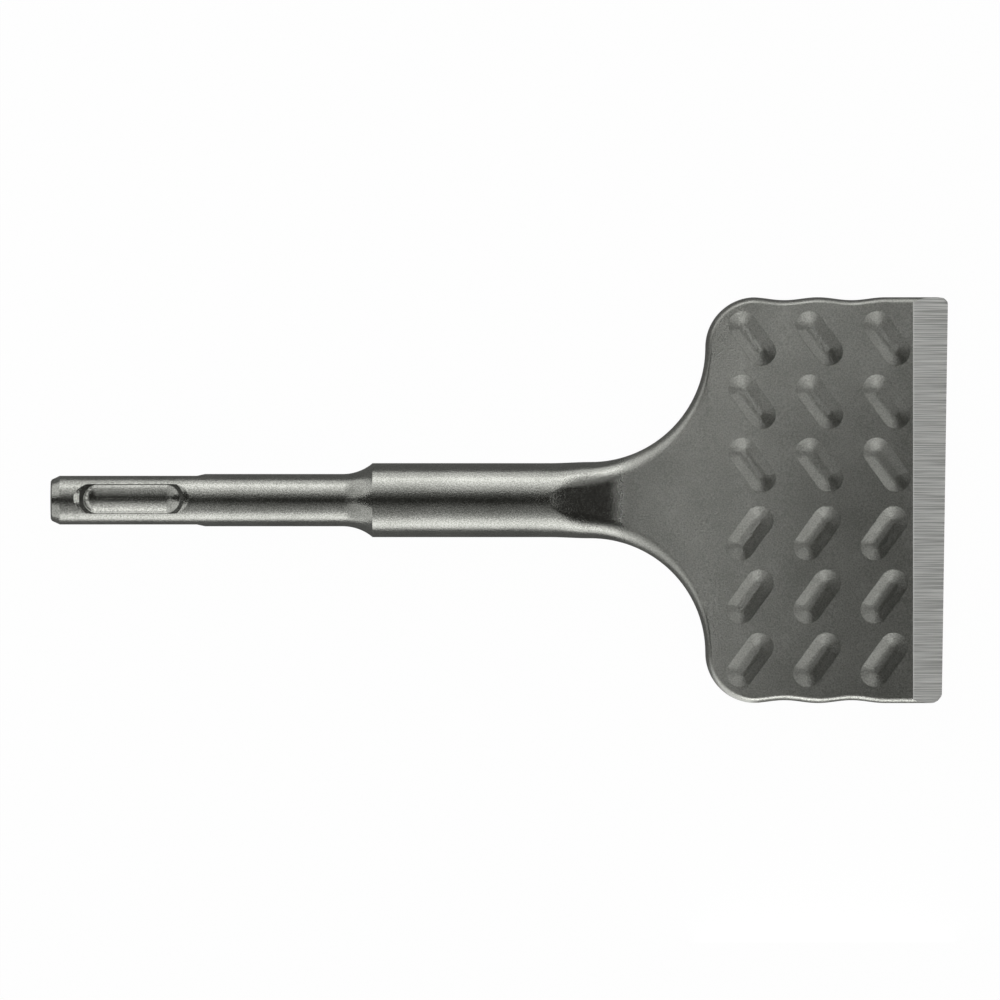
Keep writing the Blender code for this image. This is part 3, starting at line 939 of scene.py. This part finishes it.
# %% A soft box
def soft_box(name, centre, aim, size, radiance):
    """A rectangular lamp of even brightness that faces a point."""
    data = bpy.data.lights.new(name, "AREA")
    data.shape = "RECTANGLE"
    data.size, data.size_y = size
    data.energy = radiance * math.pi * size[0] * size[1]
    lamp = bpy.data.objects.new(name, data)
    lamp.location = centre
    lamp.rotation_euler = (Vector(aim) - Vector(centre)).to_track_quat("-Z", "Y").to_euler()
    bpy.context.scene.collection.objects.link(lamp)
    return lamp


# %% Walls of light round the table
WALL_DISTANCE = 0.6
WALL_AIM = Vector((0.1, 0, 0))
WALL_LEVELS = ((7, 14), (22, 16), (38, 16), (54, 16), (69, 14))


def wall(name, azimuth, width, radiances):
    """A soft wall round part of the table. Each level has an elevation and a height, in degrees."""
    turn = math.radians(azimuth)
    for (elevation, height), radiance in zip(WALL_LEVELS, radiances):
        rise = math.radians(elevation)
        toward = Vector((math.cos(turn) * math.cos(rise), math.sin(turn) * math.cos(rise), math.sin(rise)))
        centre = WALL_AIM + toward * WALL_DISTANCE
        span = 2 * WALL_DISTANCE * math.tan(math.radians(width / 2)) * math.cos(rise)
        tall = 2 * WALL_DISTANCE * math.tan(math.radians(height / 2))
        soft_box(f"{name}_{elevation}", centre, WALL_AIM, (span, tall), radiance)


wall("far_wall", 90, 30, (0.8, 1.65, 1.1, 0.6, 0.1))
wall("far_left_wall", 135, 60, (0.7, 0.75, 0.55, 0.5, 0.12))
wall("far_right_wall", 53, 44, (0.1, 0.25, 0.45, 0.2, 0.1))
wall("near_wall", 270, 30, (1.5, 1.2, 0.5, 0.2, 0.15))
wall("near_left_wall", 225, 60, (0.6, 0.6, 0.45, 0.4, 0.1))
wall("end_wall", 0, 30, (2.0,))

# %% Boxes over the blade
TOP_BOX_HEIGHT = 0.15
TOP_BOX_SPREAD = math.radians(24)


def top_box(name, x, y, size, radiance):
    """A soft box with a grid, square to the light that the tapered blade sends up to the camera."""
    aim = (x - TOP_BOX_HEIGHT * math.tan(2 * BLADE_TAPER), y, 0)
    box = soft_box(name, (x, y, TOP_BOX_HEIGHT), aim, size, radiance)
    box.data.spread = TOP_BOX_SPREAD


top_box("middle_box", 0.137, 0, (0.048, 0.024), 0.058)
top_box("far_box", 0.148, 0.036, (0.024, 0.06), 0.052)
top_box("near_box", 0.13, -0.036, (0.024, 0.04), 0.038)
top_box("edge_box", 0.176, 0, (0.1, 0.02), 0.014)

# %% Boxes for the groove, strip beside the blade, and fill
GROOVE_MIDDLE = Vector((GROOVE_CENTRE_X, 0, 0))
GROOVE_BOX_WAY = Vector((0.25, 0, 0.14))
GROOVE_BOX_SIZE = (0.12, 0.1)
GROOVE_BOX_RADIANCE = 0.02
GROOVE_BOX_SPREAD = math.radians(16)
for azimuth in (-50, -25, 0, 25, 50):
    centre = GROOVE_MIDDLE + Matrix.Rotation(math.radians(azimuth), 3, "Z") @ GROOVE_BOX_WAY
    box = soft_box(f"groove_box_{azimuth}", centre, GROOVE_MIDDLE, GROOVE_BOX_SIZE, GROOVE_BOX_RADIANCE)
    box.data.spread = GROOVE_BOX_SPREAD
soft_box("low_strip", centre=(0.148, -0.085, -0.004), aim=(0.148, -0.04, 0), size=(0.05, 0.02), radiance=2.6)
fill = soft_box("fill", centre=(0.1, 0, 1.0), aim=(0.1, 0, 0), size=(1.0, 1.0), radiance=1.0)
fill.visible_glossy = False
print("lamps:", len(bpy.data.lights))

# %% Room
ROOM = (0.028, 0.028, 0.026, 1)
world = bpy.data.worlds.new("room")
bpy.context.scene.world = world
graph = Graph(world)
room = graph.wire("ShaderNodeBackground", {}, {"Color": ROOM, "Strength": 1.0})
graph.node("ShaderNodeOutputWorld", {}, {"Surface": room})
bpy.context.scene.view_settings.view_transform = "Standard"

# %% [markdown]
# Last, the skin takes the imported solid's place: it rides on the one body, and the imported solid is
# hidden.

# %% Hand over
chisel.name = "chisel_forging"
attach(chisel, "root")
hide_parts("wide_chisel")
